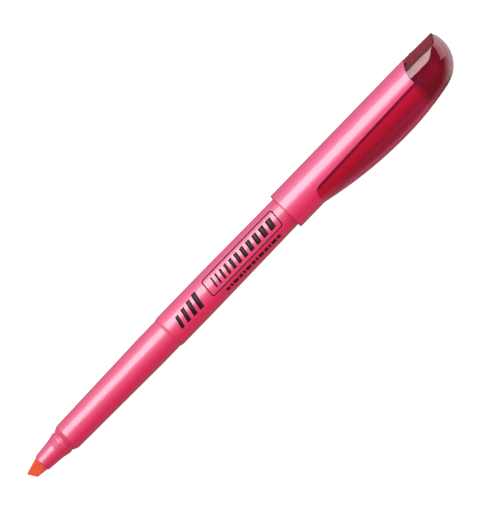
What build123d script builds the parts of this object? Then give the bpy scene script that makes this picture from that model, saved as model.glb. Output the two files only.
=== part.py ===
from build123d import *
import math
import os

# Capped chisel-tip highlighter with its cap posted on the tail of the barrel.
#
# Frame: the pen's axis is X. The nib points to -X, the cap's crown to +X and the pocket clip to -Y; +Z is up
# when the pen lies on a table. The origin is on the axis, where the cap-stop shoulder meets the barrel's
# front land. Each piece is a separate closed solid, written to parts/NODE.step. Millimetres.

# ---- driving dimensions ----------------------------------------------------------------------------------

# barrel: one tube with a narrower front section that the cap covers when it is closed
LAND_R = 4.90
LAND_END = 14.6
RIM_X = 43.15
BARREL_R_AT_RIM = 4.65
TAIL_X = 75.6
TAIL_R = 4.42
SHOULDER_FOOT = -0.9
SEAT_R = 4.62
SEAT_FRONT = -7.3
FRONT_R = 4.03
FRONT_X = -38.3
MOUTH_X = -39.7
MOUTH_R = 3.42
FRONT_BORE = 3.25
REAR_BORE = 3.75
RIB_REACH = 3.12
RIB_WIDTH = 0.6
RIB_SPAN = (3.0, 60.0)
RIB_COUNT = 6

# nose cone, nib and ink store
NOSE_TIP_X = -47.9
NOSE_TIP_R = 2.43
NOSE_WAIST = (-42.7, 2.95)
NOSE_RING = (-40.7, 3.42)
NOSE_GROOVE_R = 3.22
NOSE_REAR_X = -33.5
VENT_DEPTH = 0.35
VENT_WIDTH = 0.6
VENT_COUNT = 4
NIB_R = 2.15
NIB_HIGH = (-52.7, 0.81)
NIB_LOW = (-51.2, -1.72)
NIB_EDGE_HALF = 0.55
NIB_REAR_X = -24.0
STORE_FRONT_X = -33.0
STORE_REAR_X = 62.8
STORE_R = 2.95
FILM = 0.10
FIT = 0.02

# tail plug
PLUG_FLANGE = 1.0
PLUG_R = 4.33
PLUG_INSERT = 7.1

# cap sleeve
SLEEVE_R_RIM = 5.64
SLEEVE_R_TOP = 5.60
BORE_R_RIM = 4.70
BORE_R_DEEP = 4.50
LEDGE_X = 84.8
COUNTERBORE_R = 4.62
SCOOP_R = 7.2
SCOOP_LOW_X = 90.2
PART_LINE = 0.05

# crown and clip: one moulding, split where the clip bends
CROWN_R_LOW = 5.56
CROWN_R_HIGH = 5.25
CROWN_BORE = 3.95
CROWN_WALL = 1.45
PLUG_RING_R = 4.56
PLUG_RING_X = 86.3
FLEX_X = 90.0
PLUG_RING_END = 92.5
GATE_X = 95.2
GATE_R = 0.55
CREST_X = 79.9
CREST_DEPTH = 8.97
CREST_FALL_FRONT = 0.0043
CREST_FALL_REAR = 0.00585
BOW_CENTRE = (94.7, 1.5)
BOW_R = 9.0
UPRIGHT_RIBS = (86.0, 89.0, 92.0, 95.0)
BOW_FAN = ((97.0, 19), (98.7, 45), (100.0, 65), (101.4, 85), (102.7, 105))
BACK_OVERLAP = 0.15
BORE_OVERLAP = 0.5
BLADE_HALF_WIDTH = 6.32
HULL_NARROWING = 0.115
BLADE_SIDE_WALL = 0.60
BLADE_CREST_WALL = 1.10
TIP_CREST_WALL = 0.45
CHANNEL_START = 54.6
CHANNEL_ROOF_RUN = 7.0
TIP_X = 51.95
EDGE_AT_FLEX = -0.70
EDGE_RISE_X = 92.6
EDGE_RISE = 0.088
EDGE_RISE_POWER = 1.8
LEDGE_PROUD = 0.18
EDGE_AT_TIP = -1.45
EDGE_TIP_X = 54.5
SLEEVE_CLEAR_R = 5.68

# larger than any piece is across, for cutting blocks
FAR = 40.0

# cap liner
SEAL_X = 77.6
SEAL_BORE = 4.07
SEAL_R = 4.44
SEAL_STEP_X = 82.4
LINER_BORE = 3.55
FLANGE_R = 4.58
FLANGE_END = 86.25


# ---- helpers ---------------------------------------------------------------------------------------------


def turned(points, rounds=()):
    """Solid turned about the pen's axis from (x, radius) corners; rounds holds (corner number, radius)."""
    face = make_face(Polyline(*points, close=True))
    for number, radius in rounds:
        x, r = points[number]
        corner = min(face.vertices(), key=lambda v: (v.X - x) ** 2 + (v.Y - r) ** 2)
        face = fillet(corner, radius)
    return revolve(face, Axis.X)


def tube(x0, x1, outer, inner):
    """Plain tube along the axis."""
    return turned([(x0, inner), (x0, outer), (x1, outer), (x1, inner)])


def rod(x0, x1, radius):
    """Plain rod along the axis."""
    return turned([(x0, 0), (x0, radius), (x1, radius), (x1, 0)])


def spoked(blank, count):
    """The blank repeated evenly about the pen's axis."""
    return Part() + [Rot(X=360 * k / count) * blank for k in range(count)]


def crest_depth(x):
    """How far the clip's crest stands from the axis at x, ahead of the bow."""
    fall = CREST_FALL_FRONT if x < CREST_X else CREST_FALL_REAR
    return CREST_DEPTH - fall * (x - CREST_X) ** 2


def edge_height(x):
    """Height (Y) of the hull's side edge at x: straight along the clip, then rising to the crown's back."""
    if x > FLEX_X:
        return EDGE_AT_FLEX + EDGE_RISE * max(x - EDGE_RISE_X, 0) ** EDGE_RISE_POWER
    slope = (EDGE_AT_FLEX - EDGE_AT_TIP) / (FLEX_X - EDGE_TIP_X)
    return EDGE_AT_TIP + slope * (x - EDGE_TIP_X)


def crown_radius(x):
    """Radius of the crown's round back at x."""
    share = (x - SCOOP_LOW_X) / (BOW_CENTRE[0] + BOW_R - SCOOP_LOW_X)
    return CROWN_R_LOW + share * (CROWN_R_HIGH - CROWN_R_LOW)


def arch(base, crest, half_width):
    """Flat section of the hull: a half ellipse from its two side edges, at base, over the crest."""
    reach = math.dist(base, crest)
    along = ((crest[0] - base[0]) / reach, (crest[1] - base[1]) / reach, 0)
    plane = Plane(origin=(*base, 0), x_dir=along, z_dir=(along[1], -along[0], 0))
    bow = EllipticalCenterArc((0, 0), reach, half_width, start_angle=-90, arc_size=180)
    return plane * make_face([bow, Line((0, half_width), (0, -half_width))])


# ---- barrel end ------------------------------------------------------------------------------------------


def barrel():
    """Tube with the cap-stop shoulder, and ribs inside that hold the ink store."""
    body = turned(
        [
            (MOUTH_X, FRONT_BORE),
            (MOUTH_X, MOUTH_R),
            (FRONT_X, FRONT_R),
            (SEAT_FRONT, SEAT_R),
            (SHOULDER_FOOT, SEAT_R),
            (0, LAND_R),
            (LAND_END, LAND_R),
            (RIM_X, BARREL_R_AT_RIM),
            (TAIL_X, TAIL_R),
            (TAIL_X, REAR_BORE),
            (2.0, REAR_BORE),
            (-1.0, FRONT_BORE),
        ],
        rounds=[(2, 0.9), (8, 0.25)],
    )
    rib_length = RIB_SPAN[1] - RIB_SPAN[0]
    rib_height = REAR_BORE + 0.3 - RIB_REACH
    middle = Pos(RIB_SPAN[0] + rib_length / 2, 0, RIB_REACH + rib_height / 2)
    rib = middle * Box(rib_length, RIB_WIDTH, rib_height)
    return body + spoked(rib, RIB_COUNT)


def nose_cone():
    """Nib holder: a cone with a snap groove, pressed into the barrel's mouth, air channels beside the nib."""
    body = turned(
        [
            (NOSE_TIP_X, NIB_R + FIT),
            (NOSE_TIP_X, NOSE_TIP_R),
            NOSE_WAIST,
            NOSE_RING,
            (NOSE_RING[0] + 0.35, NOSE_RING[1]),
            (MOUTH_X - 0.3, NOSE_GROOVE_R),
            (NOSE_REAR_X, NOSE_GROOVE_R),
            (NOSE_REAR_X, NIB_R + FIT),
        ],
        rounds=[(2, 3.0), (6, 0.3)],
    )
    x0 = NOSE_TIP_X + 2.5
    length = NOSE_REAR_X - x0 + 1.0
    channel = Pos(x0 + length / 2, 0, NIB_R) * Box(length, VENT_WIDTH, 2 * VENT_DEPTH)
    return body - spoked(channel, VENT_COUNT)


def nib():
    """Fibre nib: a round rod cut to a slanted chisel edge in front and a blunt point in the ink store."""
    blank = turned(
        [
            (NIB_HIGH[0] - 1, 0),
            (NIB_HIGH[0] - 1, NIB_R),
            (NIB_REAR_X - 2.0, NIB_R),
            (NIB_REAR_X, 0.8),
            (NIB_REAR_X, 0),
        ]
    )
    reach = NIB_R + 0.5
    start = NOSE_TIP_X - 0.1
    side = Polyline(
        (NIB_REAR_X + 1, reach),
        (start + 1.6, reach),
        (start + 1.6, NIB_R + 0.2),
        (start, NIB_R),
        NIB_HIGH,
        NIB_LOW,
        (start, -NIB_R),
        (start + 1.6, -NIB_R - 0.2),
        (start + 1.6, -reach),
        (NIB_REAR_X + 1, -reach),
        close=True,
    )
    edge = Polyline(
        (NIB_REAR_X + 1, reach),
        (start + 1.2, reach),
        (start - 0.3, NIB_R - 0.25),
        (NIB_HIGH[0] - 0.1, NIB_EDGE_HALF),
        (NIB_HIGH[0] - 0.1, -NIB_EDGE_HALF),
        (start - 0.3, -NIB_R + 0.25),
        (start + 1.2, -reach),
        (NIB_REAR_X + 1, -reach),
        close=True,
    )
    from_side = extrude(make_face(side), reach, both=True)
    from_above = extrude(Plane.XZ * make_face(edge), reach, both=True)
    return blank & from_side & from_above


def ink_reservoir():
    """Bonded-fibre ink store with the pocket that the nib's rear end sits in."""
    body = turned(
        [(STORE_FRONT_X, 0), (STORE_FRONT_X, STORE_R), (STORE_REAR_X, STORE_R), (STORE_REAR_X, 0)],
        rounds=[(1, 0.3), (2, 0.3)],
    )
    pocket = turned(
        [
            (STORE_FRONT_X - 1, 0),
            (STORE_FRONT_X - 1, NIB_R + FIT),
            (NIB_REAR_X - 2.0 + FIT, NIB_R + FIT),
            (NIB_REAR_X + FIT, 0.8 + FIT),
            (NIB_REAR_X + 2 * FIT, 0),
        ]
    )
    return body - pocket


def reservoir_film():
    """Plastic film tube round the ink store."""
    return tube(STORE_FRONT_X + 0.2, STORE_REAR_X - 0.2, STORE_R + FIT + FILM, STORE_R + FIT)


def tail_plug():
    """Push-in plug that closes the barrel's tail, with a post that keeps the ink store forward."""
    insert_x = TAIL_X - PLUG_INSERT
    insert_r = REAR_BORE - FIT
    cup_floor = TAIL_X - 1.0
    post_x = STORE_REAR_X + 0.2
    return turned(
        [
            (post_x, 0),
            (post_x, 1.1),
            (cup_floor, 1.1),
            (cup_floor, insert_r - 0.85),
            (insert_x, insert_r - 0.85),
            (insert_x, insert_r),
            (TAIL_X, insert_r),
            (TAIL_X, PLUG_R),
            (TAIL_X + PLUG_FLANGE, PLUG_R),
            (TAIL_X + PLUG_FLANGE, 0),
        ],
        rounds=[(5, 0.3), (8, 0.4)],
    )


# ---- cap -------------------------------------------------------------------------------------------------


def scoop(radius):
    """What the crown fills of the sleeve's top: a round scoop behind, a square cut on the clip's side."""
    centre = SCOOP_LOW_X + SCOOP_R
    disc = Pos(centre, 0, 0) * Cylinder(radius, FAR)
    ahead = Pos(centre + FAR / 2, 0, 0) * Box(FAR, FAR, FAR)
    square = Pos(centre - radius + FAR / 2, -FAR / 2, 0) * Box(FAR, FAR, FAR)
    return disc + ahead + square


def cap_sleeve():
    """Opaque tube that grips the barrel: a tapered bore below, a counterbore for liner and crown above."""
    top_x = SCOOP_LOW_X + SCOOP_R
    body = turned(
        [
            (RIM_X, BORE_R_RIM),
            (RIM_X, SLEEVE_R_RIM),
            (top_x, SLEEVE_R_TOP),
            (top_x, COUNTERBORE_R),
            (LEDGE_X, COUNTERBORE_R),
            (LEDGE_X, BORE_R_DEEP),
            (SEAL_X, BORE_R_DEEP),
        ],
        rounds=[(1, 0.3)],
    )
    return body - scoop(SCOOP_R)


def cap_liner():
    """Soft liner that seals round the nose in a closed cap, its flange held between sleeve and crown."""
    return turned(
        [
            (SEAL_X, SEAL_BORE),
            (SEAL_X, SEAL_R),
            (LEDGE_X + FIT, SEAL_R),
            (LEDGE_X + FIT, FLANGE_R),
            (FLANGE_END, FLANGE_R),
            (FLANGE_END, LINER_BORE),
            (SEAL_STEP_X, LINER_BORE),
            (SEAL_STEP_X, SEAL_BORE),
        ],
        rounds=[(0, 0.15), (7, 0.2)],
    )


def blade_half_width(x):
    """Half width of the hull at x: even along the clip, then narrowing with the crown."""
    return BLADE_HALF_WIDTH - HULL_NARROWING * max(x - FLEX_X, 0)


def hull_rib(x, crest, half_width, inset):
    """One section of the hull at x, or of the hollow inside it when there is an inset."""
    base = (x, edge_height(x))
    reach = math.dist(base, crest)
    share = 1 - inset / reach
    crest = (base[0] + share * (crest[0] - base[0]), base[1] + share * (crest[1] - base[1]))
    return arch(base, crest, half_width - inset)


def hull(wall_at_flex=0.0, wall=0.0, fan=BOW_FAN):
    """The hull's solid: upright sections at the bending line, then sections that fan round the bow."""
    ribs = []
    for x in UPRIGHT_RIBS:
        inset = wall_at_flex if x < FLEX_X else wall
        ribs.append(hull_rib(x, (x, -crest_depth(x)), blade_half_width(x), inset))
    for x, angle in fan:
        turn = math.radians(angle)
        crest = (BOW_CENTRE[0] + BOW_R * math.sin(turn), BOW_CENTRE[1] - BOW_R * math.cos(turn))
        chord = math.sqrt(crown_radius(x) ** 2 - edge_height(x) ** 2)
        ribs.append(hull_rib(x, crest, chord + LEDGE_PROUD, wall))
    return loft(ribs)


def past_ridge(shift):
    """Everything on the bow's side of the ridge where the crown's round back ends, moved by shift along X."""
    run = BOW_CENTRE[0] + BOW_R - EDGE_RISE_X
    ridge = []
    for k in range(9):
        x = EDGE_RISE_X + run * k / 8
        ridge.append((x + shift, edge_height(x)))
    far_x = ridge[-1][0] + FAR
    around = [ridge[-1], (far_x, ridge[-1][1]), (far_x, -FAR / 2), (ridge[0][0], -FAR / 2), ridge[0]]
    return extrude(make_face([Spline(*ridge), Polyline(*around)]), FAR / 2, both=True)


def sleeve_envelope():
    """The room that the sleeve needs inside the crown and the clip."""
    return rod(RIM_X - 5, SCOOP_LOW_X + SCOOP_R, SLEEVE_CLEAR_R) - scoop(SCOOP_R - PART_LINE)


def blade_channel():
    """The hollow under the clip's blade, open towards the sleeve."""
    ribs = []
    for x in (CHANNEL_START, 58.1, 61.6, 68.0, 74.0, 80.0, 86.0, FLEX_X + 1):
        share = min((x - CHANNEL_START) / CHANNEL_ROOF_RUN, 1)
        wall = TIP_CREST_WALL + share * (BLADE_CREST_WALL - TIP_CREST_WALL)
        ribs.append(arch((x, 0), (x, -(crest_depth(x) - wall)), BLADE_HALF_WIDTH - BLADE_SIDE_WALL))
    return loft(ribs)


def cap_crown():
    """Translucent hollow crown: round back, rounded bow over the clip's root, plug ring inside the sleeve."""
    end = BOW_CENTRE[0] + BOW_R
    back = turned([(SCOOP_LOW_X, 0), (SCOOP_LOW_X, CROWN_R_LOW), (end, CROWN_R_HIGH), (end, 0)])
    behind_flex = Pos(FLEX_X + FAR / 2, 0, 0) * Box(FAR, FAR, FAR)
    gate = Pos(GATE_X, CROWN_R_LOW - GATE_R / 2, 0) * Sphere(GATE_R)
    skin = (back - past_ridge(BACK_OVERLAP)) + (hull() & behind_flex) + gate
    skin = skin - sleeve_envelope() - hull(BLADE_CREST_WALL, CROWN_WALL, BOW_FAN[:4])
    body = skin + rod(PLUG_RING_X, PLUG_RING_END, PLUG_RING_R)
    return body - (rod(PLUG_RING_X - 1, end, CROWN_BORE) - past_ridge(BORE_OVERLAP))


def clip():
    """Pocket clip: a wide scooped blade hugging the sleeve, from the bending line to its rounded tip."""
    ribs = []
    for x in (49.0, 55.0, 61.0, 67.0, 73.0, CREST_X, 85.0, FLEX_X + 2):
        ribs.append(arch((x, edge_height(x)), (x, -crest_depth(x)), BLADE_HALF_WIDTH))
    outline = [
        Polyline((FLEX_X, 1), (EDGE_TIP_X, 1), (EDGE_TIP_X, EDGE_AT_TIP)),
        ThreePointArc((EDGE_TIP_X, EDGE_AT_TIP), (TIP_X + 0.75, -2.05), (TIP_X, -3.6)),
        ThreePointArc((TIP_X, -3.6), (TIP_X + 0.05, -4.7), (TIP_X + 0.6, -6.1)),
        Polyline((TIP_X + 0.6, -6.1), (TIP_X + 0.6, -FAR / 2), (FLEX_X, -FAR / 2), (FLEX_X, 1)),
    ]
    blade = loft(ribs) & extrude(make_face(outline), FAR / 2, both=True)
    return blade - blade_channel() - sleeve_envelope()


# ---- write the parts -------------------------------------------------------------------------------------

PIECES = {
    "barrel": barrel,
    "nose_cone": nose_cone,
    "nib": nib,
    "ink_reservoir": ink_reservoir,
    "reservoir_film": reservoir_film,
    "tail_plug": tail_plug,
    "cap_sleeve": cap_sleeve,
    "cap_liner": cap_liner,
    "cap_crown": cap_crown,
    "clip": clip,
}

os.makedirs("parts", exist_ok=True)
for name, make in PIECES.items():
    export_step(make(), f"parts/{name}.step")
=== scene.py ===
"""Looks of a capped highlighter whose cap is posted on its tail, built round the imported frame.

The frame's axes: the pen lies along X, nib to -X, cap's crown to +X, pocket clip to -Y, +Z up. Shapes are
worked out in millimetres and turned into metres when a mesh is made. The opaque mouldings are rings of
points about the pen's axis, the translucent crown and its clip are one moulding made from formulas, and the
decoration is thin raised ink. The nib and the inner pieces are the CAD's own shapes with new materials.
"""

import math

import bmesh
import bpy
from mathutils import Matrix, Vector


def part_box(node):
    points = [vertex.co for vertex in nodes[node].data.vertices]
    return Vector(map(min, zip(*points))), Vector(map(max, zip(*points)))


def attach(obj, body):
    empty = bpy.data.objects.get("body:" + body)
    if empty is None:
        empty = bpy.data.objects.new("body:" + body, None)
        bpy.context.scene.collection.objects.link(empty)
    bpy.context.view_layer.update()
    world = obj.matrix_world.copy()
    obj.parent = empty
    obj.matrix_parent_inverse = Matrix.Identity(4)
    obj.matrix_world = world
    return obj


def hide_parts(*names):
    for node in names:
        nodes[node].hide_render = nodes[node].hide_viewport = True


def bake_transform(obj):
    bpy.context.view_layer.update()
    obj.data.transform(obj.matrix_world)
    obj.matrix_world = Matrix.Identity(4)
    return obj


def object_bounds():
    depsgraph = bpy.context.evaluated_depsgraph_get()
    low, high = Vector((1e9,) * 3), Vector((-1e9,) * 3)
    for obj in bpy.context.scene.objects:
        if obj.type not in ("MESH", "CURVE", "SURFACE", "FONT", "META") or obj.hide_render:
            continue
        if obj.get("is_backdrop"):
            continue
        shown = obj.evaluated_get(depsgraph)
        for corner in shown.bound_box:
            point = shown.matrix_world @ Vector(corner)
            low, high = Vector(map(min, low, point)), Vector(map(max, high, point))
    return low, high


MM = 0.001
AROUND = 160
RING_TURN = 0.37
WHITE = (1.0, 1.0, 1.0, 1.0)

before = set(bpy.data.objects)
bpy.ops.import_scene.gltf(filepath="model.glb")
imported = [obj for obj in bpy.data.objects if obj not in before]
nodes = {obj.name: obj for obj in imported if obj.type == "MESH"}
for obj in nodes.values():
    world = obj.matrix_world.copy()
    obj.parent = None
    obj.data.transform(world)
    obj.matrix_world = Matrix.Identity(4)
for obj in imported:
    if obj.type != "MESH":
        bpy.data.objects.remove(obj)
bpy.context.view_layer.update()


def cad(node):
    """Lowest and highest corner of a CAD node in millimetres."""
    low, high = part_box(node)
    return Vector(low) / MM, Vector(high) / MM


BARREL_LOW, BARREL_HIGH = cad("barrel")
NOSE_LOW, NOSE_HIGH = cad("nose_cone")
SLEEVE_LOW, SLEEVE_HIGH = cad("cap_sleeve")
CROWN_LOW = cad("cap_crown")[0]
CLIP_LOW, CLIP_HIGH = cad("clip")

# ---- driving dimensions, in millimetres --------------------------------------------------------------------

LAND_R = BARREL_HIGH.z
LAND_END = 14.6
SHOULDER_FOOT = -0.9
SEAT_R = 4.62
SEAT_FRONT = -7.3
FRONT_R = 4.03
FRONT_X = BARREL_LOW.x + 1.4
MOUTH_R = 3.42
RIM_R = 4.65
TAIL_R = 4.42
FRONT_BORE = 3.25
REAR_BORE = 3.75
BORE_STEP_X = (-1.0, 2.0)

# The nose cone's runs count from its front end.

NOSE_BORE = 2.17
NOSE_TIP_R = 2.43
NOSE_WAIST = (5.2, 2.95)
NOSE_RING_R = 3.42
NOSE_RING_RUN = (7.2, 7.55)
NOSE_GROOVE_RUN = 7.95
NOSE_GROOVE_R = 3.22

# The cap's sleeve, and the cut between it and the crown.

SLEEVE_R_RIM = SLEEVE_HIGH.z
SLEEVE_R_TOP = 5.60
SLEEVE_BORE_RIM = 4.70
SLEEVE_BORE_DEEP = 4.50
COUNTERBORE_R = 4.62
LEDGE_X = 84.8
BORE_END_X = 77.6
RIM_CHAMFER = 0.12
RIM_EDGE = ((0.0, 0.3), (0.04, 0.15), (0.12, 0.05), (0.3, 0.0), (0.7, 0.0))
SIDE_STOPS = 0.15
TOP_EDGE = ((0.12, 0.0), (0.03, 0.02), (0.0, 0.08))
SLEEVE_ROWS = 12
SCOOP_R = 7.2
SCOOP_LOW_X = 90.2

# The crown and the clip: the hull's crest and side edge, the bow at the end, the round back and the walls.

FLEX_X = CLIP_HIGH.x
CREST_X = 79.9
CREST_DEPTH = -CLIP_LOW.y
CREST_FALL_FRONT = 0.0043
CREST_FALL_REAR = 0.00585
UPRIGHT_END = 96.4
BOW_CENTRE = (94.7, 1.5)
BOW_R = 9.0
BOW_TURN = (10.9, 105)
BOW_BASE_RUN = 6.3
BACK_OVERLAP = 0.12
BORE_OVERLAP = 0.5
PLUG_RING_END = 90.2
SCOOP_TOP_Y = 6.2
BLOCK_REACH = 10
PAST_PEN = 20
HOLLOW_SHARE = 0.8
HOLLOW_AHEAD = 0.4
CHANNEL_PAST = 0.3
ROOM_AHEAD = 5
BORE_AHEAD = 1
HULL_START_X = 49.0
BLADE_HALF_WIDTH = 6.32
HULL_NARROWING = 0.115
EDGE_AT_FLEX = -0.70
EDGE_AT_TIP = -1.45
EDGE_TIP_X = 54.5
EDGE_RISE_X = 92.6
EDGE_RISE = 0.088
EDGE_RISE_POWER = 1.8
CROWN_R_LOW = 5.56
CROWN_R_HIGH = 5.25
CROWN_BORE = 3.95
CROWN_WALL = 1.45
PLUG_RING_R = 4.56
PLUG_RING_LEAD = 0.12
LEDGE_PROUD = 0.18
SLEEVE_CLEAR_R = 5.68
PART_LINE = 0.05
BLADE_SIDE_WALL = 0.60
BLADE_CREST_WALL = 1.10
TIP_CREST_WALL = 0.45
CHANNEL_START = 54.6
CHANNEL_ROOF_RUN = 7.0
CHANNEL_TOP = 0.13
TIP_CORNER_Y = -3.6
TIP_CORNER_REACH = 2.55
TIP_CORNER_RISE = 2.15
TIP_FRONT = ((0.05, -4.7), (0.25, -5.5), (0.6, -6.1))
TIP_BLOCK_X = 45
TIP_BLOCK_Y = (-12, 1)
GATE_X = 95.2
GATE_R = 0.55
GATE_SUNK = 0.5
SHARP_ANGLE = 13

# Steps along or round a curve.

FILLET_STEPS = 6
ARCH_STEPS = 40
HULL_STEPS = 90
BOW_STEPS = 48
CHANNEL_STEPS = 36
ROD_STEPS = 96
RIDGE_STEPS = 24
SCOOP_STEPS = 48
TIP_STEPS = 12
GATE_STEPS = (12, 24)

# The printed decoration: a bar has a start along X, a width, a low and a high end, and a lean.

INK_RISE = 0.012
INK_STEP = 0.25
CORNER_STEPS = 6
SLANT_BARS = 4
SLANT_BAR_X = 2.6
SLANT_BAR_PITCH = 2.3
SLANT_BAR_WIDTH = 1.1
SLANT_BAR_WIDENS = 0.12
SLANT_BAR_LOW = -1.9
SLANT_BAR_HIGH = 1.5
SLANT_BAR_GROWS = 0.35
SLANT_BAR_LEAN = 0.9
FRAME_X = (14.4, 40.6)
FRAME_Y = (-2.05, 3.2)
FRAME_CORNER = 0.9
FRAME_LINE = 0.34
FRAME_LEAN = 0.1
FRAMED_BARS = 11
FRAMED_BAR_X = 16.6
FRAMED_BAR_WIDTH = 0.5
FRAMED_BAR_WIDENS = 0.13
FRAMED_BAR_Y = (-0.9, 2.0)
FRAMED_BAR_LEAN = 0.45
FRAMED_BAR_GAP = 0.95
DASHES = 13
DASH_X = 18.0
DASH_WIDTHS = (1.15, 0.7, 1.7)
DASH_Y = (-3.62, -2.85)
DASH_GAP = 0.38

# The plastics' patterns, with their painted light and shade. Lengths are in millimetres; the rest are
# directions, colours and shares.

# Painted light on the pink plastics: the side facing the key light is paler.
LIT_SIDE = (0, 0.7, 0.7)
LIT_RANGE = (0.2, 0.98)
CROWN_TINT_X = (88.6, 91.0)
# Painted shade on the blade past the sleeve's side.
BLADE_SHADE_Y = (-6.0, -5.0)
BEYOND_SLEEVE_SHADE = (0.72, 0.55, 0.55)
# The crown's rounded end, which takes the end colour, and the share and edge grey of its painted reflection.
END_ZONE_X = (95.5, 99.5)
END_ZONE_BELOW_RIDGE = (0.1, 1.0)
END_ZONE_DEPTH = (2.8, 0.2)
END_REFLECTION_SHARE = 0.75
END_REFLECTION_EDGE = (190, 90, 112)
# Painted shade: a darker line along the blade's side edge.
EDGE_PAINTED_SHADE = (0.4, 0.12, 0.3, 1)
EDGE_PAINTED_SHADE_REACH = (0.5, 1.0)
EDGE_PAINTED_SHADE_X = (89.5, 93.0)
FLOW_TINT = (0.96, 0.9, 0.93, 1.0)
SLANT_DEEPENS = 0.55
VEIL_TINT = 0.15

# Floor, surroundings, lights and camera: in metres and degrees, the lens and the sensor in millimetres.

FLOOR_HALF = 3.0
FLOOR_GREYS = (180, 174)
FLOOR_IN_REFLECTIONS = 110
FLOOR_GLOW = (0.1, 0.95)
WORLD_SEEN = 0.93
WORLD_LIGHT = (0.15, 0.3)
LIT_PLACE = Vector((0.03, 0, 0))
KEY_FROM, KEY_TO, KEY_FAR = 13, 57, 1.0
KEY_ENDS = (-0.45, 0.34)
KEY_RADIANCE = 9.5
SOFT_TURN = 14
SOFT_SIZE = (0.5, 0.6)
SOFT_RADIANCE = 8.0
BACK_PLACE = Vector((0, 0.5, 0.12))
BACK_SIZE = (0.3, 0.6)
BACK_RADIANCE = 0.9
END_PLACE = Vector((0.58, -0.05, 0.22))
END_SIZE = (0.44, 0.5)
END_RADIANCE = 3.0
LENS = 300
SENSOR = 36
SEEN_HEIGHT = 132.9 * MM
CAMERA_OVER = (28.55 * MM, -1.3 * MM)
CAMERA_ROLL = -45.93
CAMERA_CLIP = (0.01, 20)

# ---- meshes ------------------------------------------------------------------------------------------------


def add_mesh(name, points, faces):
    """Object from points in millimetres and faces, with outward normals and smooth shading."""
    mesh = bpy.data.meshes.new(name)
    mesh.from_pydata([Vector(p) * MM for p in points], [], faces)
    bm = bmesh.new()
    bm.from_mesh(mesh)
    bmesh.ops.recalc_face_normals(bm, faces=bm.faces)
    for face in bm.faces:
        face.smooth = True
    bm.to_mesh(mesh)
    bm.free()
    obj = bpy.data.objects.new(name, mesh)
    bpy.context.scene.collection.objects.link(obj)
    return obj


def rounded(corners):
    """Closed outline from (x, r, fillet radius) corners, each fillet replaced by an arc."""
    outline = []
    count = len(corners)
    for i in range(count):
        here = Vector(corners[i][:2])
        radius = corners[i][2]
        before = (Vector(corners[i - 1][:2]) - here).normalized()
        after = (Vector(corners[(i + 1) % count][:2]) - here).normalized()
        if radius == 0:
            outline.append(here)
            continue
        half = before.angle(after) / 2
        reach = radius / math.tan(half)
        start = here + before * reach
        end = here + after * reach
        centre = here + (before + after).normalized() * (radius / math.sin(half))
        a0 = math.atan2(start.y - centre.y, start.x - centre.x)
        a1 = math.atan2(end.y - centre.y, end.x - centre.x)
        sweep = (a1 - a0 + math.pi) % (2 * math.pi) - math.pi
        for k in range(FILLET_STEPS + 1):
            a = a0 + sweep * k / FILLET_STEPS
            outline.append(centre + radius * Vector((math.cos(a), math.sin(a))))
    return outline


def even_shading(obj):
    """Smooth shading that follows the large faces."""
    even = obj.modifiers.new("even_shading", "WEIGHTED_NORMAL")
    even.weight = 90
    return even


def ring_mesh(name, points):
    """Ring-shaped moulding from AROUND closed outlines of equal length, listed one after the other."""
    n = len(points) // AROUND
    faces = []
    for k in range(AROUND):
        m = (k + 1) % AROUND
        for i in range(n):
            j = (i + 1) % n
            faces.append((k * n + i, k * n + j, m * n + j, m * n + i))
    obj = add_mesh(name, points, faces)
    even_shading(obj)
    return obj


def turned(name, corners):
    """Ring-shaped moulding: a closed (x, r, fillet) outline turned about the pen's axis."""
    outline = rounded(corners)
    points = []
    for k in range(AROUND):
        a = 2 * math.pi * k / AROUND
        points += [(p.x, p.y * math.cos(a), p.y * math.sin(a)) for p in outline]
    return ring_mesh(name, points)


def closed_tube(name, rings):
    """Closed solid from a list of rings with equal point counts, the first and last ring filled."""
    n = len(rings[0])
    points = [p for ring in rings for p in ring]
    faces = [tuple(range(n)), tuple(range((len(rings) - 1) * n, len(rings) * n))]
    for r in range(len(rings) - 1):
        for i in range(n):
            j = (i + 1) % n
            faces.append((r * n + i, r * n + j, (r + 1) * n + j, (r + 1) * n + i))
    return add_mesh(name, points, faces)


# ---- materials ---------------------------------------------------------------------------------------------


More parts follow.
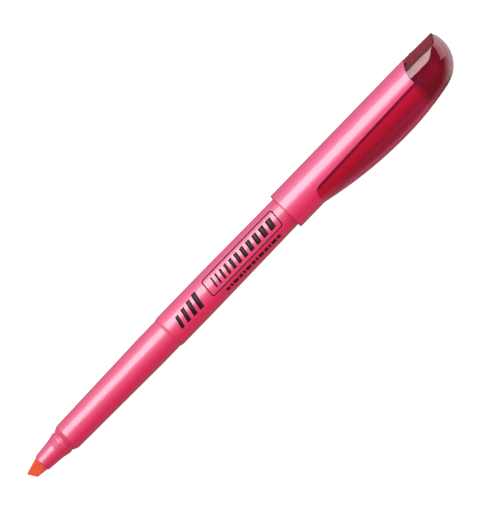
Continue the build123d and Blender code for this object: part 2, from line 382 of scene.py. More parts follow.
class Nodes:
    """Small helper that builds a material's node tree."""

    def __init__(self, name):
        self.material = bpy.data.materials.new(name)
        self.material.use_nodes = True
        self.tree = self.material.node_tree
        self.tree.nodes.clear()
        self.output = self.add("ShaderNodeOutputMaterial")
        self.place = self.add("ShaderNodeTexCoord").outputs["Object"]

    def add(self, kind, **settings):
        """New node; settings are its properties, or its inputs where the name is an input's."""
        node = self.tree.nodes.new(kind)
        for key, value in settings.items():
            label = key.replace("_", " ")
            if label in node.inputs:
                self.feed(node.inputs[label], value)
            else:
                setattr(node, key, value)
        return node

    def feed(self, socket, value):
        """Connects an output to the socket, or sets the socket's value."""
        if isinstance(value, bpy.types.NodeSocket):
            self.tree.links.new(value, socket)
        else:
            socket.default_value = value

    def stretched(self, sx, sy, sz):
        """The surface's own coordinates in metres, scaled along each axis."""
        return self.add("ShaderNodeMapping", Vector=self.place, Scale=(sx, sy, sz)).outputs["Vector"]

    def noise(self, vector, scale, detail=3.0, rough=0.5):
        """Noise between 0 and 1."""
        return self.add(
            "ShaderNodeTexNoise", Vector=vector, Scale=scale, Detail=detail, Roughness=rough
        ).outputs["Fac"]

    def ramp(self, value, low, high, to_low, to_high):
        """Value mapped from low..high to to_low..to_high and held within them."""
        node = self.add("ShaderNodeMapRange", Value=value)
        for label, number in (("From Min", low), ("From Max", high), ("To Min", to_low), ("To Max", to_high)):
            node.inputs[label].default_value = number
        return node.outputs["Result"]

    def between(self, value, span, to_low=0.0, to_high=1.0):
        """A length in metres mapped from a span in millimetres to to_low..to_high and held within them."""
        return self.ramp(value, span[0] * MM, span[1] * MM, to_low, to_high)

    def mix_colour(self, fac, a, b, blend="MIX"):
        """Colour between a and b, or a blended with b in another way."""
        node = self.add("ShaderNodeMix", data_type="RGBA", blend_type=blend)
        self.feed(node.inputs[0], fac)
        self.feed(node.inputs[6], a)
        self.feed(node.inputs[7], b)
        return node.outputs[2]

    def maths(self, operation, a, b):
        """One arithmetic step."""
        node = self.add("ShaderNodeMath", operation=operation)
        self.feed(node.inputs[0], a)
        self.feed(node.inputs[1], b)
        return node.outputs[0]

    def mix_shader(self, fac, a, b):
        """Shader between a and b."""
        node = self.add("ShaderNodeMixShader")
        for socket, value in zip(node.inputs, (fac, a, b)):
            self.feed(socket, value)
        return node.outputs["Shader"]

    def principled(self, **settings):
        """Principled shader with the given inputs."""
        return self.add("ShaderNodeBsdfPrincipled", **settings).outputs["BSDF"]

    def bump(self, height, distance, normal=None):
        """Bump of the given depth in metres."""
        node = self.add("ShaderNodeBump", Strength=1.0, Distance=distance, Height=height)
        if normal:
            self.feed(node.inputs["Normal"], normal)
        return node.outputs["Normal"]

    def longer_way(self, colour):
        """Colour deepened where the wall is seen at a slant and light has further to go in it."""
        facing = self.add("ShaderNodeLayerWeight", Blend=0.5).outputs["Facing"]
        shortening = self.maths("MULTIPLY", facing, SLANT_DEEPENS)
        power = self.maths("DIVIDE", 1.0, self.maths("SUBTRACT", 1.0, shortening))
        split = self.add("ShaderNodeSeparateColor", Color=colour)
        join = self.add("ShaderNodeCombineColor")
        for channel in ("Red", "Green", "Blue"):
            self.feed(join.inputs[channel], self.maths("POWER", split.outputs[channel], power))
        return join.outputs["Color"]

    def finish(self, shader):
        """Ends the tree with the shader and returns the material."""
        self.tree.links.new(shader, self.output.inputs["Surface"])
        return self.material


def srgb(r, g, b):
    """Linear colour with alpha from 0..255 screen values."""

    def line(v):
        v /= 255
        return v / 12.92 if v <= 0.04045 else ((v + 0.055) / 1.055) ** 2.4

    return (line(r), line(g), line(b), 1.0)


def grey(v):
    """Linear grey from a 0..255 screen value."""
    return srgb(v, v, v)


def pink_plastic(name, lit, deep, rough=0.46):
    """Glossy dyed plastic with flow variation, drawn lines and fine surface grain.

    Its colour carries painted light: it goes from deep to lit where the surface faces up and to +Y in the
    scene, towards the key light.
    """
    t = Nodes(name)
    flow = t.noise(t.stretched(30, 160, 160), 1.0, 4.0)
    grain = t.noise(t.stretched(1, 1, 1), 5200, 2.0)
    drawn = t.noise(t.stretched(25, 1400, 1400), 1.0, 5.0, 0.6)
    facing = t.add("ShaderNodeVectorMath", operation="DOT_PRODUCT")
    t.feed(facing.inputs[0], t.add("ShaderNodeNewGeometry").outputs["Normal"])
    t.feed(facing.inputs[1], LIT_SIDE)
    # Painted light: the share of the lit colour grows as the surface turns to face the key light.
    painted_light = t.ramp(facing.outputs["Value"], LIT_RANGE[0], LIT_RANGE[1], 0.0, 1.0)
    share = t.maths("MULTIPLY", painted_light, t.ramp(flow, 0.3, 0.7, 0.94, 1.0))
    colour = t.mix_colour(share, deep, lit)
    roughness = t.ramp(drawn, 0.3, 0.75, rough - 0.03, rough + 0.07)
    normal = t.bump(drawn, 0.0000035)
    normal = t.bump(grain, 0.0000012, normal)
    surface = {"Base_Color": colour, "Roughness": roughness, "Normal": normal}
    return t.finish(t.principled(IOR=1.5, Coat_Weight=0.7, Coat_Roughness=0.16, **surface))


def ruby_plastic(name, blade, crown, end, end_reflection, absorbed):
    """Clear deep-red plastic.

    Light keeps the share blade, crown or end of each colour in passing one wall there, and loses absorbed of
    it per millimetre in the wall. A darker line of painted shade follows the blade's side edge, the blade is
    deeper past the sleeve's side as painted shade where no lit sleeve lies behind it, and the crown's rounded
    end carries a pale painted reflection. The pattern is tied to the attribute rest_place, the surface's
    place at rest, so that it moves with the cap. Shadow and diffuse rays pass with only a light tint.
    """
    t = Nodes(name)
    t.place = t.add("ShaderNodeAttribute", attribute_name="rest_place").outputs["Vector"]
    flow = t.noise(t.stretched(60, 220, 220), 1.0, 3.0)
    scuff = t.noise(t.stretched(120, 900, 900), 1.0, 6.0, 0.65)
    apart = t.add("ShaderNodeSeparateXYZ", Vector=t.place)
    along, height = apart.outputs["X"], apart.outputs["Y"]
    from_bow = t.add("ShaderNodeVectorMath", operation="DISTANCE")
    flat = t.add("ShaderNodeMapping", Vector=t.place, Scale=(1, 1, 0)).outputs["Vector"]
    t.feed(from_bow.inputs[0], flat)
    t.feed(from_bow.inputs[1], (BOW_CENTRE[0] * MM, BOW_CENTRE[1] * MM, 0))
    # Painted shade: the blade's colour deepens below the sleeve's side, where no lit sleeve lies behind it.
    blade_painted_shade = tuple(share * keep for share, keep in zip(blade, BEYOND_SLEEVE_SHADE)) + (1,)
    blade = t.mix_colour(t.between(height, BLADE_SHADE_Y, 1.0, 0.0), blade, blade_painted_shade)
    colour = t.mix_colour(t.between(along, CROWN_TINT_X), blade, crown)
    # The crown's rounded end below the ridge: it takes the end colour and a painted reflection.
    past_rise = t.maths("MAXIMUM", t.maths("SUBTRACT", t.maths("DIVIDE", along, MM), EDGE_RISE_X), 0.0)
    ridge = t.maths("MULTIPLY", t.maths("POWER", past_rise, EDGE_RISE_POWER), EDGE_RISE)
    below_ridge = t.maths("SUBTRACT", t.maths("ADD", ridge, EDGE_AT_FLEX), t.maths("DIVIDE", height, MM))
    under = t.ramp(below_ridge, END_ZONE_BELOW_RIDGE[0], END_ZONE_BELOW_RIDGE[1], 0.0, 1.0)
    behind = t.maths("MULTIPLY", t.between(along, END_ZONE_X), under)
    rounding = t.between(from_bow.outputs["Value"], (BOW_R - END_ZONE_DEPTH[0], BOW_R - END_ZONE_DEPTH[1]))
    at_end = t.maths("MULTIPLY", behind, rounding)
    # Painted shade: a darker line along the blade's side edge, fading out towards the crown.
    edge_slope = (EDGE_AT_FLEX - EDGE_AT_TIP) / (FLEX_X - EDGE_TIP_X)
    past_flex = t.maths("MULTIPLY", t.maths("SUBTRACT", along, FLEX_X * MM), edge_slope)
    edge_line = t.maths("ADD", past_flex, EDGE_AT_FLEX * MM)
    close = t.between(t.maths("SUBTRACT", edge_line, height), EDGE_PAINTED_SHADE_REACH, 1.0, 0.0)
    painted_edge_shade = t.maths("MULTIPLY", close, t.between(along, EDGE_PAINTED_SHADE_X, 1.0, 0.0))
    colour = t.mix_colour(painted_edge_shade, colour, EDGE_PAINTED_SHADE)
    colour = t.mix_colour(at_end, colour, end)
    shade = t.mix_colour(t.ramp(flow, 0.3, 0.7, 0.0, 1.0), WHITE, FLOW_TINT)
    tint = t.mix_colour(1.0, t.longer_way(colour), shade, "MULTIPLY")
    clear = t.principled(
        Base_Color=tint,
        Roughness=t.ramp(scuff, 0.45, 0.8, 0.035, 0.11),
        Normal=t.bump(scuff, 0.000002),
        IOR=1.3,
        Transmission_Weight=1.0,
        Coat_Weight=0.42,
        Coat_IOR=1.5,
        Coat_Roughness=0.06,
    )
    # Painted reflection: the rounded end turns pale and rough, greyer towards its edge, in place of the light
    # it reflects.
    pale = t.mix_colour(rounding, srgb(*END_REFLECTION_EDGE), end_reflection)
    painted_reflection = t.principled(Base_Color=pale, Roughness=0.5)
    seen = t.mix_shader(t.maths("MULTIPLY", at_end, END_REFLECTION_SHARE), clear, painted_reflection)
    veil = t.add("ShaderNodeBsdfTransparent", Color=t.mix_colour(VEIL_TINT, WHITE, tint))
    rays = t.add("ShaderNodeLightPath").outputs
    passing = t.maths("MAXIMUM", rays["Is Shadow Ray"], rays["Is Diffuse Ray"])
    surface = t.mix_shader(passing, seen, veil.outputs["BSDF"])
    strongest = max(absorbed)
    depth = t.add("ShaderNodeVolumeAbsorption")
    depth.inputs["Color"].default_value = tuple(1 - a / strongest for a in absorbed) + (1.0,)
    depth.inputs["Density"].default_value = strongest / MM
    t.tree.links.new(depth.outputs["Volume"], t.output.inputs["Volume"])
    return t.finish(surface)


def ink_fibre(name, light, deep):
    """Bonded fibre soaked with ink: streaks along the pen, fuzzy and rough."""
    t = Nodes(name)
    streaks = t.noise(t.stretched(260, 5200, 5200), 1.0, 6.0, 0.7)
    blotch = t.noise(t.stretched(400, 400, 400), 1.0, 3.0)
    fac = t.maths("ADD", t.maths("MULTIPLY", streaks, 0.7), t.maths("MULTIPLY", blotch, 0.3))
    colour = t.mix_colour(t.ramp(fac, 0.35, 0.65, 0.0, 1.0), deep, light)
    roughness = t.ramp(streaks, 0.3, 0.7, 0.62, 0.85)
    normal = t.bump(streaks, 0.00003)
    return t.finish(t.principled(Base_Color=colour, Roughness=roughness, Normal=normal, Sheen_Weight=0.3))


def natural_plastic(name):
    """Soft unpigmented moulding, slightly cloudy."""
    t = Nodes(name)
    cloud = t.noise(t.stretched(500, 500, 500), 1.0, 4.0)
    colour = t.mix_colour(cloud, srgb(236, 228, 222), srgb(214, 204, 200))
    roughness = t.ramp(cloud, 0.3, 0.7, 0.4, 0.55)
    surface = {"Base_Color": colour, "Roughness": roughness, "Normal": t.bump(cloud, 0.000004)}
    return t.finish(t.principled(Subsurface_Weight=0.2, Subsurface_Scale=0.0006, **surface))


def clear_film(name):
    """Thin clear film with faint wrinkles."""
    t = Nodes(name)
    wrinkle = t.noise(t.stretched(300, 900, 900), 1.0, 3.0)
    roughness = t.ramp(wrinkle, 0.3, 0.7, 0.08, 0.2)
    surface = {"Base_Color": srgb(245, 245, 248), "Roughness": roughness, "Normal": t.bump(wrinkle, 0.00001)}
    return t.finish(t.principled(Transmission_Weight=0.9, IOR=1.3, **surface))


def print_ink(name):
    """Screen-printed dark ink with small density changes."""
    t = Nodes(name)
    speck = t.noise(t.stretched(1, 1, 1), 9000, 3.0)
    colour = t.mix_colour(t.ramp(speck, 0.35, 0.7, 0.0, 1.0), srgb(30, 8, 16), srgb(52, 14, 28))
    roughness = t.ramp(speck, 0.3, 0.7, 0.35, 0.5)
    surface = {"Base_Color": colour, "Roughness": roughness, "Normal": t.bump(speck, 0.000002)}
    return t.finish(t.principled(Specular_IOR_Level=0.25, **surface))


def pale_floor(name):
    """Plain pale floor with a barely visible variation, darker in reflections and glowing for the camera."""
    t = Nodes(name)
    cloud = t.noise(t.stretched(6, 6, 6), 1.0, 4.0)
    colour = t.mix_colour(cloud, grey(FLOOR_GREYS[0]), grey(FLOOR_GREYS[1]))
    rays = t.add("ShaderNodeLightPath").outputs
    colour = t.mix_colour(rays["Is Glossy Ray"], colour, grey(FLOOR_IN_REFLECTIONS))
    seen = t.maths("MAXIMUM", rays["Is Camera Ray"], rays["Is Transmission Ray"])
    shader = t.principled(
        Base_Color=colour,
        Roughness=0.6,
        Normal=t.bump(cloud, 0.00002),
        Specular_IOR_Level=0.2,
        Emission_Color=WHITE,
        Emission_Strength=t.ramp(seen, 0, 1, FLOOR_GLOW[0], FLOOR_GLOW[1]),
    )
    return t.finish(shader)


def dress(obj, material, body, slot, *replaced):
    """Gives a piece its material and the body it rides on, and hides the CAD nodes it stands for.

    The slot argument is not used. The record has no slot for the printed ink, so that piece has
    none.
    """
    obj.data.materials.clear()
    obj.data.materials.append(material)
    if body:
        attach(obj, body)
    if replaced:
        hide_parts(*replaced)


# The lit colours are painted light on the side that faces the key light.
PINK = pink_plastic("pink_plastic", srgb(226, 82, 126), srgb(228, 22, 82))
PINK_CAP = pink_plastic("pink_cap_plastic", srgb(224, 82, 130), srgb(228, 22, 86), 0.42)
RUBY = ruby_plastic(
    "ruby_plastic",
    blade=(0.93, 0.37, 0.64, 1),
    crown=(0.52, 0.095, 0.22, 1),
    end=(0.9, 0.6, 0.66, 1),
    # Pale painted reflection on the crown's rounded end.
    end_reflection=srgb(176, 160, 162),
    absorbed=(0.13, 0.5, 0.4),
)
NIB_FIBRE = ink_fibre("nib_fibre", srgb(252, 88, 16), srgb(222, 50, 8))
STORE_FIBRE = ink_fibre("store_fibre", srgb(250, 120, 150), srgb(238, 84, 122))
NATURAL = natural_plastic("natural_plastic")
FILM = clear_film("clear_film")
INK = print_ink("print_ink")

# ---- barrel, nose cone, nib --------------------------------------------------------------------------------


def make_barrel():
    """The barrel's one moulding: mouth, front section, cap-stop shoulder, land, taper to the tail, bore."""
    shell = turned(
        "barrel_shell",
        [
            (BARREL_LOW.x, FRONT_BORE, 0.1),
            (BARREL_LOW.x, MOUTH_R, 0.06),
            (FRONT_X, FRONT_R, 0.9),
            (SEAT_FRONT, SEAT_R, 0),
            (SHOULDER_FOOT, SEAT_R, 0.2),
            (0, LAND_R, 0.35),
            (LAND_END, LAND_R, 0),
            (SLEEVE_LOW.x, RIM_R, 0),
            (BARREL_HIGH.x, TAIL_R, 0.25),
            (BARREL_HIGH.x, REAR_BORE, 0.1),
            (BORE_STEP_X[1], REAR_BORE, 0),
            (BORE_STEP_X[0], FRONT_BORE, 0),
        ],
    )
    dress(shell, PINK, "barrel", "pink_plastic", "barrel")


def make_nose():
    """The nib holder: a slightly hollow-sided cone, a flared ring and a snap groove."""
    nose = turned(
        "nose_cone_shell",
        [
            (NOSE_LOW.x, NOSE_BORE, 0.05),
            (NOSE_LOW.x, NOSE_TIP_R, 0.12),
            (NOSE_LOW.x + NOSE_WAIST[0], NOSE_WAIST[1], 3.0),
            (NOSE_LOW.x + NOSE_RING_RUN[0], NOSE_RING_R, 0.15),
            (NOSE_LOW.x + NOSE_RING_RUN[1], NOSE_RING_R, 0.12),
            (NOSE_LOW.x + NOSE_GROOVE_RUN, NOSE_GROOVE_R, 0.05),
            (NOSE_HIGH.x, NOSE_GROOVE_R, 0.3),
            (NOSE_HIGH.x, NOSE_BORE, 0),
        ],
    )
    dress(nose, PINK, "barrel", "pink_plastic", "nose_cone")


make_barrel()
make_nose()

# ---- cap sleeve --------------------------------------------------------------------------------------------


def scoop_x(y, radius=SCOOP_R):
    """Where the cut between sleeve and crown lies at height y: round behind, square on the clip's side."""
    return SCOOP_LOW_X + SCOOP_R - math.sqrt(radius**2 - max(y, 0) ** 2)


def make_sleeve():
    """The cap's opaque tube, its rim rounded, its top cut to the crown's round edge.

    RIM_EDGE and TOP_EDGE hold how far each of their points lies in from the end and below the outside.
    """
    x0 = SLEEVE_LOW.x
    rim = [(x0, SLEEVE_BORE_RIM + RIM_CHAMFER)]
    rim += [(x0 + run, SLEEVE_R_RIM - down) for run, down in RIM_EDGE]
    side_start, side_r = rim[-1]
    narrowing = SLEEVE_R_TOP - side_r
    points = []
    for k in range(AROUND):
        a = 2 * math.pi * k / AROUND
        c, s = math.cos(a), math.sin(a)
        row = list(rim)
        top = scoop_x(SLEEVE_R_TOP * c)
        side = top - SIDE_STOPS - side_start
        for i in range(1, SLEEVE_ROWS):
            share = i / SLEEVE_ROWS
            row.append((side_start + side * share, side_r + narrowing * share))
        row += [(top - run, SLEEVE_R_TOP - down) for run, down in TOP_EDGE]
        inner_top = scoop_x(COUNTERBORE_R * c)
        row += [(inner_top, COUNTERBORE_R), (LEDGE_X, COUNTERBORE_R), (LEDGE_X, SLEEVE_BORE_DEEP)]
        row += [(BORE_END_X, SLEEVE_BORE_DEEP), (x0 + RIM_CHAMFER, SLEEVE_BORE_RIM)]
        points += [(x, r * c, r * s) for x, r in row]
    sleeve = ring_mesh("cap_sleeve_shell", points)
    dress(sleeve, PINK_CAP, "cap", "pink_plastic", "cap_sleeve")


make_sleeve()

# ---- printed decoration ------------------------------------------------------------------------------------


def barrel_radius(x):
    """Outer radius of the barrel behind the shoulder at x."""
    share = max(x - LAND_END, 0) / (SLEEVE_LOW.x - LAND_END)
    return LAND_R + share * (RIM_R - LAND_R)


def on_barrel(x, y, lift):
    """Point that stands lift above the barrel's surface where it is seen at (x, y) from straight above."""
    r = barrel_radius(x)
    a = math.asin(y / r)
    return (x, (r + lift) * math.sin(a), (r + lift) * math.cos(a))


class Print:
    """Collects thin strips of ink on the barrel into one mesh."""

    def __init__(self):
        self.points = []
        self.faces = []

    def strip(self, pairs, closed=False):
        """Strip of ink between two edges; pairs holds ((x, y), (x, y)) across it, in order along it."""
        first = len(self.points)
        for edge_a, edge_b in pairs:
            for x, y in (edge_a, edge_b):
                self.points.append(on_barrel(x, y, INK_RISE))
                self.points.append(on_barrel(x, y, -INK_RISE))
        count = len(pairs)
        for k in range(count if closed else count - 1):
            a = first + 4 * k
            b = first + 4 * ((k + 1) % count)
            self.faces += [
                (a, a + 2, b + 2, b),
                (a + 1, b + 1, b + 3, a + 3),
                (a, b, b + 1, a + 1),
                (a + 2, a + 3, b + 3, b + 2),
            ]
        if not closed:
            last = first + 4 * (count - 1)
            self.faces += [(first, first + 1, first + 3, first + 2), (last, last + 2, last + 3, last + 1)]

    def bar(self, x, width, low, high, slant=0.0):
        """Upright bar from low to high, leaning by slant towards +X."""
        pairs = []
        steps = math.ceil((high - low) / INK_STEP)
        for k in range(steps + 1):
            share = k / steps
            y = low + (high - low) * share
            left = x + slant * share
            pairs.append(((left, y), (left + width, y)))
        self.strip(pairs)

    def frame(self, x0, x1, low, high, corner, width, slant):
        """Leaning frame with rounded corners."""
        middle = ((x0 + x1) / 2, (low + high) / 2)
        half = ((x1 - x0) / 2, (high - low) / 2)
        pairs = []
        for sx, sy, start in ((1, 1, 0), (-1, 1, 90), (-1, -1, 180), (1, -1, 270)):
            for k in range(CORNER_STEPS + 1):
                a = math.radians(start + 90 * k / CORNER_STEPS)
                pair = []
                for inset in (0, width):
                    r = corner - inset
                    x = sx * (half[0] - corner) + r * math.cos(a)
                    y = sy * (half[1] - corner) + r * math.sin(a)
                    pair.append((middle[0] + x + slant * y, middle[1] + y))
                pairs.append(pair)
        self.strip(self.filled(pairs), closed=True)

    def filled(self, pairs):
        """The same closed run of pairs with more of them along its long sides."""
        full = []
        for k, pair in enumerate(pairs):
            following = pairs[(k + 1) % len(pairs)]
            count = max(1, math.ceil(math.dist(pair[0], following[0]) / INK_STEP))
            for i in range(count):
                share = i / count
                both = zip(pair, following)
                full.append([tuple(p + (q - p) * share for p, q in zip(a, b)) for a, b in both])
        return full


def make_print():
    """Plain decoration of bars, a frame and dashes, in place of any lettering."""
    ink = Print()
    for k in range(SLANT_BARS):
        x = SLANT_BAR_X + SLANT_BAR_PITCH * k
        width = SLANT_BAR_WIDTH + SLANT_BAR_WIDENS * k
        ink.bar(x, width, SLANT_BAR_LOW, SLANT_BAR_HIGH + SLANT_BAR_GROWS * k, SLANT_BAR_LEAN)
    ink.frame(*FRAME_X, *FRAME_Y, FRAME_CORNER, FRAME_LINE, FRAME_LEAN)
    x = FRAMED_BAR_X
    for k in range(FRAMED_BARS):
        width = FRAMED_BAR_WIDTH + FRAMED_BAR_WIDENS * k
        ink.bar(x, width, *FRAMED_BAR_Y, FRAMED_BAR_LEAN)
        x += width + FRAMED_BAR_GAP
    x = DASH_X
    for k in range(DASHES):
        width = DASH_WIDTHS[k % len(DASH_WIDTHS)]
        ink.bar(x, width, *DASH_Y)
        x += width + DASH_GAP
    dress(add_mesh("barrel_print", ink.points, ink.faces), INK, "barrel", None)


make_print()

# ---- crown and clip ----------------------------------------------------------------------------------------


def crest_depth(x):
    """How far the hull's crest stands from the axis at x, ahead of the bow."""
    fall = CREST_FALL_FRONT if x < CREST_X else CREST_FALL_REAR
    return CREST_DEPTH - fall * (x - CREST_X) ** 2


def edge_height(x):
    """Height (Y) of the hull's side edge at x."""
    if x > FLEX_X:
        return EDGE_AT_FLEX + EDGE_RISE * max(x - EDGE_RISE_X, 0) ** EDGE_RISE_POWER
    slope = (EDGE_AT_FLEX - EDGE_AT_TIP) / (FLEX_X - EDGE_TIP_X)
    return EDGE_AT_TIP + slope * (x - EDGE_TIP_X)


def crown_radius(x):
    """Radius of the crown's round back at x."""
    share = (x - SCOOP_LOW_X) / (BOW_CENTRE[0] + BOW_R - SCOOP_LOW_X)
    return CROWN_R_LOW + share * (CROWN_R_HIGH - CROWN_R_LOW)


def arch(base, crest, half_width):
    """Half ellipse from one side edge over the crest to the other, as points in space."""
    bx, by = base
    cx, cy = crest
    ring = []
    for k in range(ARCH_STEPS + 1):
        a = math.pi * k / ARCH_STEPS
        rise = math.sin(a)
        ring.append((bx + (cx - bx) * rise, by + (cy - by) * rise, -half_width * math.cos(a)))
    return ring


def hull_rib(x, crest, half_width, inset):
    """One section of the hull at x, or of the hollow inside it when there is an inset."""
    base = Vector((x, edge_height(x)))
    crest = Vector(crest)
    return arch(base, crest + (base - crest).normalized() * inset, half_width - inset)


def hull_solid(name, start, share_end=1.0, wall_at_flex=0.0, wall=0.0):
    """The canoe-shaped outside of blade and crown, or the hollow in the crown when there are walls."""
    rings = []
    for k in range(HULL_STEPS + 1):
        x = start + (UPRIGHT_END - start) * k / HULL_STEPS
        past_flex = max(x - FLEX_X, 0)
        inset = wall_at_flex + (wall - wall_at_flex) * min(past_flex / (UPRIGHT_END - FLEX_X), 1)
        rings.append(hull_rib(x, (x, -crest_depth(x)), BLADE_HALF_WIDTH - HULL_NARROWING * past_flex, inset))
    for k in range(1, BOW_STEPS + 1):
        share = share_end * k / BOW_STEPS
        turn = math.radians(BOW_TURN[0] + (BOW_TURN[1] - BOW_TURN[0]) * share)
        x = UPRIGHT_END + BOW_BASE_RUN * share
        crest = (BOW_CENTRE[0] + BOW_R * math.sin(turn), BOW_CENTRE[1] - BOW_R * math.cos(turn))
        chord = math.sqrt(crown_radius(x) ** 2 - edge_height(x) ** 2)
        rings.append(hull_rib(x, crest, chord + LEDGE_PROUD, wall))
    return closed_tube(name, rings)


def rod(name, x0, x1, r0, r1):
    """Closed rod about the axis; its rings are turned a little so that no point lies on the axis planes."""
    rings = []
    for x, radius in ((x0, r0), (x1, r1)):
        ring = []
        for k in range(ROD_STEPS):
            a = 2 * math.pi * (k + RING_TURN) / ROD_STEPS
            ring.append((x, radius * math.cos(a), radius * math.sin(a)))
        rings.append(ring)
    return closed_tube(name, rings)


def block(name, outline):
    """Closed block with the given (x, y) outline, reaching past the pen on both sides."""
    return closed_tube(name, [[(x, y, z) for x, y in outline] for z in (-BLOCK_REACH, BLOCK_REACH)])


def combine(target, tool, operation):
    """Boolean of two closed solids; the tool is removed afterwards."""
    mod = target.modifiers.new(operation, "BOOLEAN")
    mod.operation = operation
    mod.solver = "EXACT"
    mod.object = tool
    settle(target)
    bpy.data.objects.remove(tool)


def settle(obj):
    """Applies the object's modifiers to its mesh."""
    graph = bpy.context.evaluated_depsgraph_get()
    made = bpy.data.meshes.new_from_object(obj.evaluated_get(graph))
    old = obj.data
    obj.modifiers.clear()
    obj.data = made
    bpy.data.meshes.remove(old)


def past_ridge(shift):
    """Everything on the bow's side of the ridge where the crown's round back ends, moved by shift along X."""
    run = BOW_CENTRE[0] + BOW_R - EDGE_RISE_X
    ridge = []
    for k in range(RIDGE_STEPS + 1):
        x = EDGE_RISE_X + run * k / RIDGE_STEPS
        ridge.append((x + shift, edge_height(x)))
    far_x = ridge[-1][0] + PAST_PEN
    return block("past_ridge", ridge + [(far_x, ridge[-1][1]), (far_x, -PAST_PEN), (ridge[0][0], -PAST_PEN)])


def past_scoop(radius):
    """Everything past the cut between sleeve and crown: round behind, square on the clip's side."""
    cut = []
    for k in range(SCOOP_STEPS + 1):
        y = SCOOP_TOP_Y * (1 - k / SCOOP_STEPS)
        cut.append((scoop_x(y, radius), y))
    far_x = SCOOP_LOW_X + PAST_PEN
    return block("past_scoop", cut + [(cut[-1][0], -PAST_PEN), (far_x, -PAST_PEN), (far_x, SCOOP_TOP_Y)])


def channel_solid():
    """The hollow under the clip's blade, open towards the sleeve."""
    ribs = []
    for k in range(CHANNEL_STEPS + 1):
        x = CHANNEL_START + (FLEX_X + CHANNEL_PAST - CHANNEL_START) * k / CHANNEL_STEPS
        share = min((x - CHANNEL_START) / CHANNEL_ROOF_RUN, 1)
        roof = -(crest_depth(x) - (TIP_CREST_WALL + share * (BLADE_CREST_WALL - TIP_CREST_WALL)))
        ribs.append(arch((x, CHANNEL_TOP), (x, roof), BLADE_HALF_WIDTH - BLADE_SIDE_WALL))
    return closed_tube("channel", ribs)


def sleeve_room():
    """The room that the sleeve needs inside the crown and the clip."""
    start = SLEEVE_LOW.x - ROOM_AHEAD
    room = rod("sleeve_room", start, SCOOP_LOW_X + SCOOP_R, SLEEVE_CLEAR_R, SLEEVE_CLEAR_R)
    combine(room, past_scoop(SCOOP_R - PART_LINE), "DIFFERENCE")
    return room


def make_crown_and_clip():
    """Crown and pocket clip, one hollow translucent moulding whose clip bends at its root; here it is built
    at rest.
    """
    bow_end = BOW_CENTRE[0] + BOW_R
    body = hull_solid("crown_and_clip", HULL_START_X)
    back = rod("back", SCOOP_LOW_X, bow_end, CROWN_R_LOW, CROWN_R_HIGH)
    combine(back, past_ridge(BACK_OVERLAP), "DIFFERENCE")
    combine(body, back, "UNION")
    hollow = hull_solid("hollow", FLEX_X - HOLLOW_AHEAD, HOLLOW_SHARE, BLADE_CREST_WALL, CROWN_WALL)
    combine(body, hollow, "DIFFERENCE")
    combine(body, channel_solid(), "DIFFERENCE")
    combine(body, sleeve_room(), "DIFFERENCE")
    bore = rod("bore", SCOOP_LOW_X - BORE_AHEAD, bow_end, CROWN_BORE, CROWN_BORE)
    combine(bore, past_ridge(BORE_OVERLAP), "DIFFERENCE")
    combine(body, bore, "DIFFERENCE")
    combine(body, tip_trim(), "DIFFERENCE")
    combine(body, gate_nub(), "UNION")
    for face in body.data.polygons:
        face.use_smooth = True
    body.data.set_sharp_from_angle(angle=math.radians(SHARP_ANGLE))
    even_shading(body).keep_sharp = True
    remember_rest(body)
    dress(body, RUBY, None, "ruby_plastic", "cap_crown", "clip")
    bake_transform(body)


def remember_rest(obj):
    """Stores where the surface is at rest, for the ruby plastic's pattern."""
    rest = obj.data.attributes.new("rest_place", "FLOAT_VECTOR", "POINT")
    rest.data.foreach_set("vector", [c for v in obj.data.vertices for c in v.co])


def make_plug_ring():
    """The crown's ring that plugs into the sleeve, a piece of its own that rides on the cap."""
    corners = [(CROWN_LOW.x, CROWN_BORE, PLUG_RING_LEAD), (CROWN_LOW.x, PLUG_RING_R, PLUG_RING_LEAD)]
    corners += [(PLUG_RING_END, PLUG_RING_R, 0), (PLUG_RING_END, CROWN_BORE, 0)]
    ring = turned("plug_ring", corners)
    remember_rest(ring)
    dress(ring, RUBY, "cap", "ruby_plastic")


def gate_nub():
    """The small round mark that the moulding's gate left on the crown's back."""
    along, around = GATE_STEPS
    rings = []
    for k in range(1, along):
        a = math.pi * k / along
        x = GATE_X + GATE_R * math.cos(a)
        radius = GATE_R * math.sin(a)
        ring = []
        for j in range(around):
            b = 2 * math.pi * (j + RING_TURN) / around
            ring.append((x, radius * math.cos(b) + CROWN_R_LOW - GATE_SUNK, radius * math.sin(b)))
        rings.append(ring)
    return closed_tube("gate_nub", rings)


def tip_trim():
    """What is cut away in front of the clip's rounded tip: a block with the tip's outline, seen along Z."""
    below, above = TIP_BLOCK_Y
    outline = [(TIP_BLOCK_X, below), (TIP_BLOCK_X, above), (EDGE_TIP_X, above)]
    for k in range(TIP_STEPS + 1):
        a = math.radians(90 * k / TIP_STEPS)
        x = EDGE_TIP_X - TIP_CORNER_REACH * math.sin(a)
        outline.append((x, TIP_CORNER_Y + TIP_CORNER_RISE * math.cos(a)))
    outline += [(CLIP_LOW.x + run, y) for run, y in TIP_FRONT]
    outline.append((CLIP_LOW.x + TIP_FRONT[-1][0], below))
    return block("tip_trim", outline)


make_crown_and_clip()
make_plug_ring()

# ---- carried-over CAD nodes --------------------------------------------------------------------------------

CARRIED = {
    "nib": NIB_FIBRE,
    "ink_reservoir": STORE_FIBRE,
    "reservoir_film": FILM,
    "tail_plug": PINK,
    "cap_liner": NATURAL,
}
for node, material in CARRIED.items():
    nodes[node].data.materials.clear()
    nodes[node].data.materials.append(material)

# ---- floor, light and camera -------------------------------------------------------------------------------


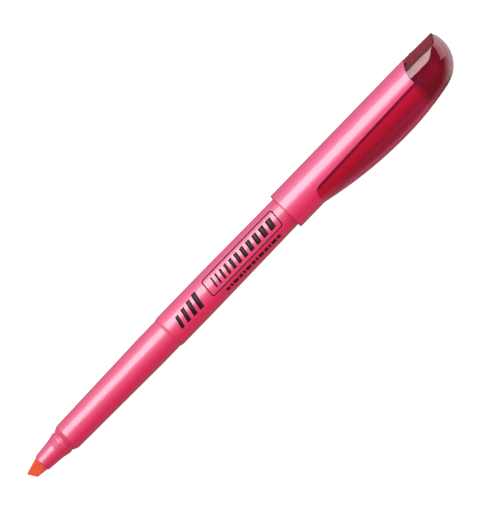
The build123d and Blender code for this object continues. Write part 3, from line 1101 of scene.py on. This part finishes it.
def make_floor(z):
    """Large plain floor that the pen lies on."""
    corners = [(FLOOR_HALF * sx, FLOOR_HALF * sy, z) for sx, sy in ((-1, -1), (1, -1), (1, 1), (-1, 1))]
    mesh = bpy.data.meshes.new("floor")
    mesh.from_pydata(corners, [], [(0, 1, 2, 3)])
    floor = bpy.data.objects.new("floor", mesh)
    bpy.context.scene.collection.objects.link(floor)
    mesh.materials.append(pale_floor("pale_floor"))
    floor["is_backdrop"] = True


def make_panel(name, place, aim, size, radiance):
    """Rectangular soft light of (width, length) that sends out the given radiance towards aim."""
    width, length = size
    light = bpy.data.lights.new(name, "AREA")
    light.shape = "RECTANGLE"
    light.size = length
    light.size_y = width
    light.energy = radiance * math.pi * width * length
    panel = bpy.data.objects.new(name, light)
    bpy.context.scene.collection.objects.link(panel)
    panel.location = place
    panel.rotation_mode = "QUATERNION"
    panel.rotation_quaternion = (aim - place).to_track_quat("-Z", "Y")
    panel.visible_camera = False
    return panel


def leaning(degrees):
    """Direction that leans from straight up towards +Y."""
    turn = math.radians(degrees)
    return Vector((0, math.sin(turn), math.cos(turn)))


def make_lights():
    """A long key light without diffuse light, a soft top light without reflections, and two bounce cards."""
    aim = Vector((sum(KEY_ENDS) / 2, 0, 0))
    size = (2 * KEY_FAR * math.tan(math.radians((KEY_TO - KEY_FROM) / 2)), KEY_ENDS[1] - KEY_ENDS[0])
    key = make_panel("key", aim + KEY_FAR * leaning((KEY_FROM + KEY_TO) / 2), aim, size, KEY_RADIANCE)
    key.visible_diffuse = False
    soft = make_panel("soft_top", LIT_PLACE + leaning(SOFT_TURN), LIT_PLACE, SOFT_SIZE, SOFT_RADIANCE)
    soft.visible_glossy = False
    soft.visible_transmission = False
    make_panel("bounce_back", LIT_PLACE + BACK_PLACE, LIT_PLACE, BACK_SIZE, BACK_RADIANCE)
    make_panel("bounce_end", LIT_PLACE + END_PLACE, LIT_PLACE, END_SIZE, END_RADIANCE)


def make_world():
    """Dim even surroundings for light and reflections, pale where the camera sees them directly."""
    world = bpy.data.worlds.new("studio")
    world.use_nodes = True
    tree = world.node_tree
    tree.nodes.clear()
    out = tree.nodes.new("ShaderNodeOutputWorld")
    seen = tree.nodes.new("ShaderNodeBackground")
    seen.inputs["Color"].default_value = (WORLD_SEEN, WORLD_SEEN, WORLD_SEEN, 1)
    lit = tree.nodes.new("ShaderNodeBackground")
    lit.inputs["Color"].default_value = WHITE
    path = tree.nodes.new("ShaderNodeLightPath")
    fill = tree.nodes.new("ShaderNodeMapRange")
    fill.inputs["To Min"].default_value = WORLD_LIGHT[0]
    fill.inputs["To Max"].default_value = WORLD_LIGHT[1]
    tree.links.new(path.outputs["Is Diffuse Ray"], fill.inputs["Value"])
    tree.links.new(fill.outputs["Result"], lit.inputs["Strength"])
    mix = tree.nodes.new("ShaderNodeMixShader")
    tree.links.new(path.outputs["Is Camera Ray"], mix.inputs[0])
    tree.links.new(lit.outputs[0], mix.inputs[1])
    tree.links.new(seen.outputs[0], mix.inputs[2])
    tree.links.new(mix.outputs[0], out.inputs["Surface"])
    bpy.context.scene.world = world


def make_camera():
    """Long lens straight above the pen, rolled so that the pen runs from lower left to upper right."""
    data = bpy.data.cameras.new("camera")
    data.lens = LENS
    data.sensor_width = SENSOR
    camera = bpy.data.objects.new("camera", data)
    bpy.context.scene.collection.objects.link(camera)
    camera.location = (*CAMERA_OVER, SEEN_HEIGHT * LENS / SENSOR)
    camera.rotation_euler = (0, 0, math.radians(CAMERA_ROLL))
    data.clip_start, data.clip_end = CAMERA_CLIP
    bpy.context.scene.camera = camera


make_floor(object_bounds()[0].z)
make_lights()
make_world()
make_camera()
bpy.context.scene.view_settings.view_transform = "Standard"
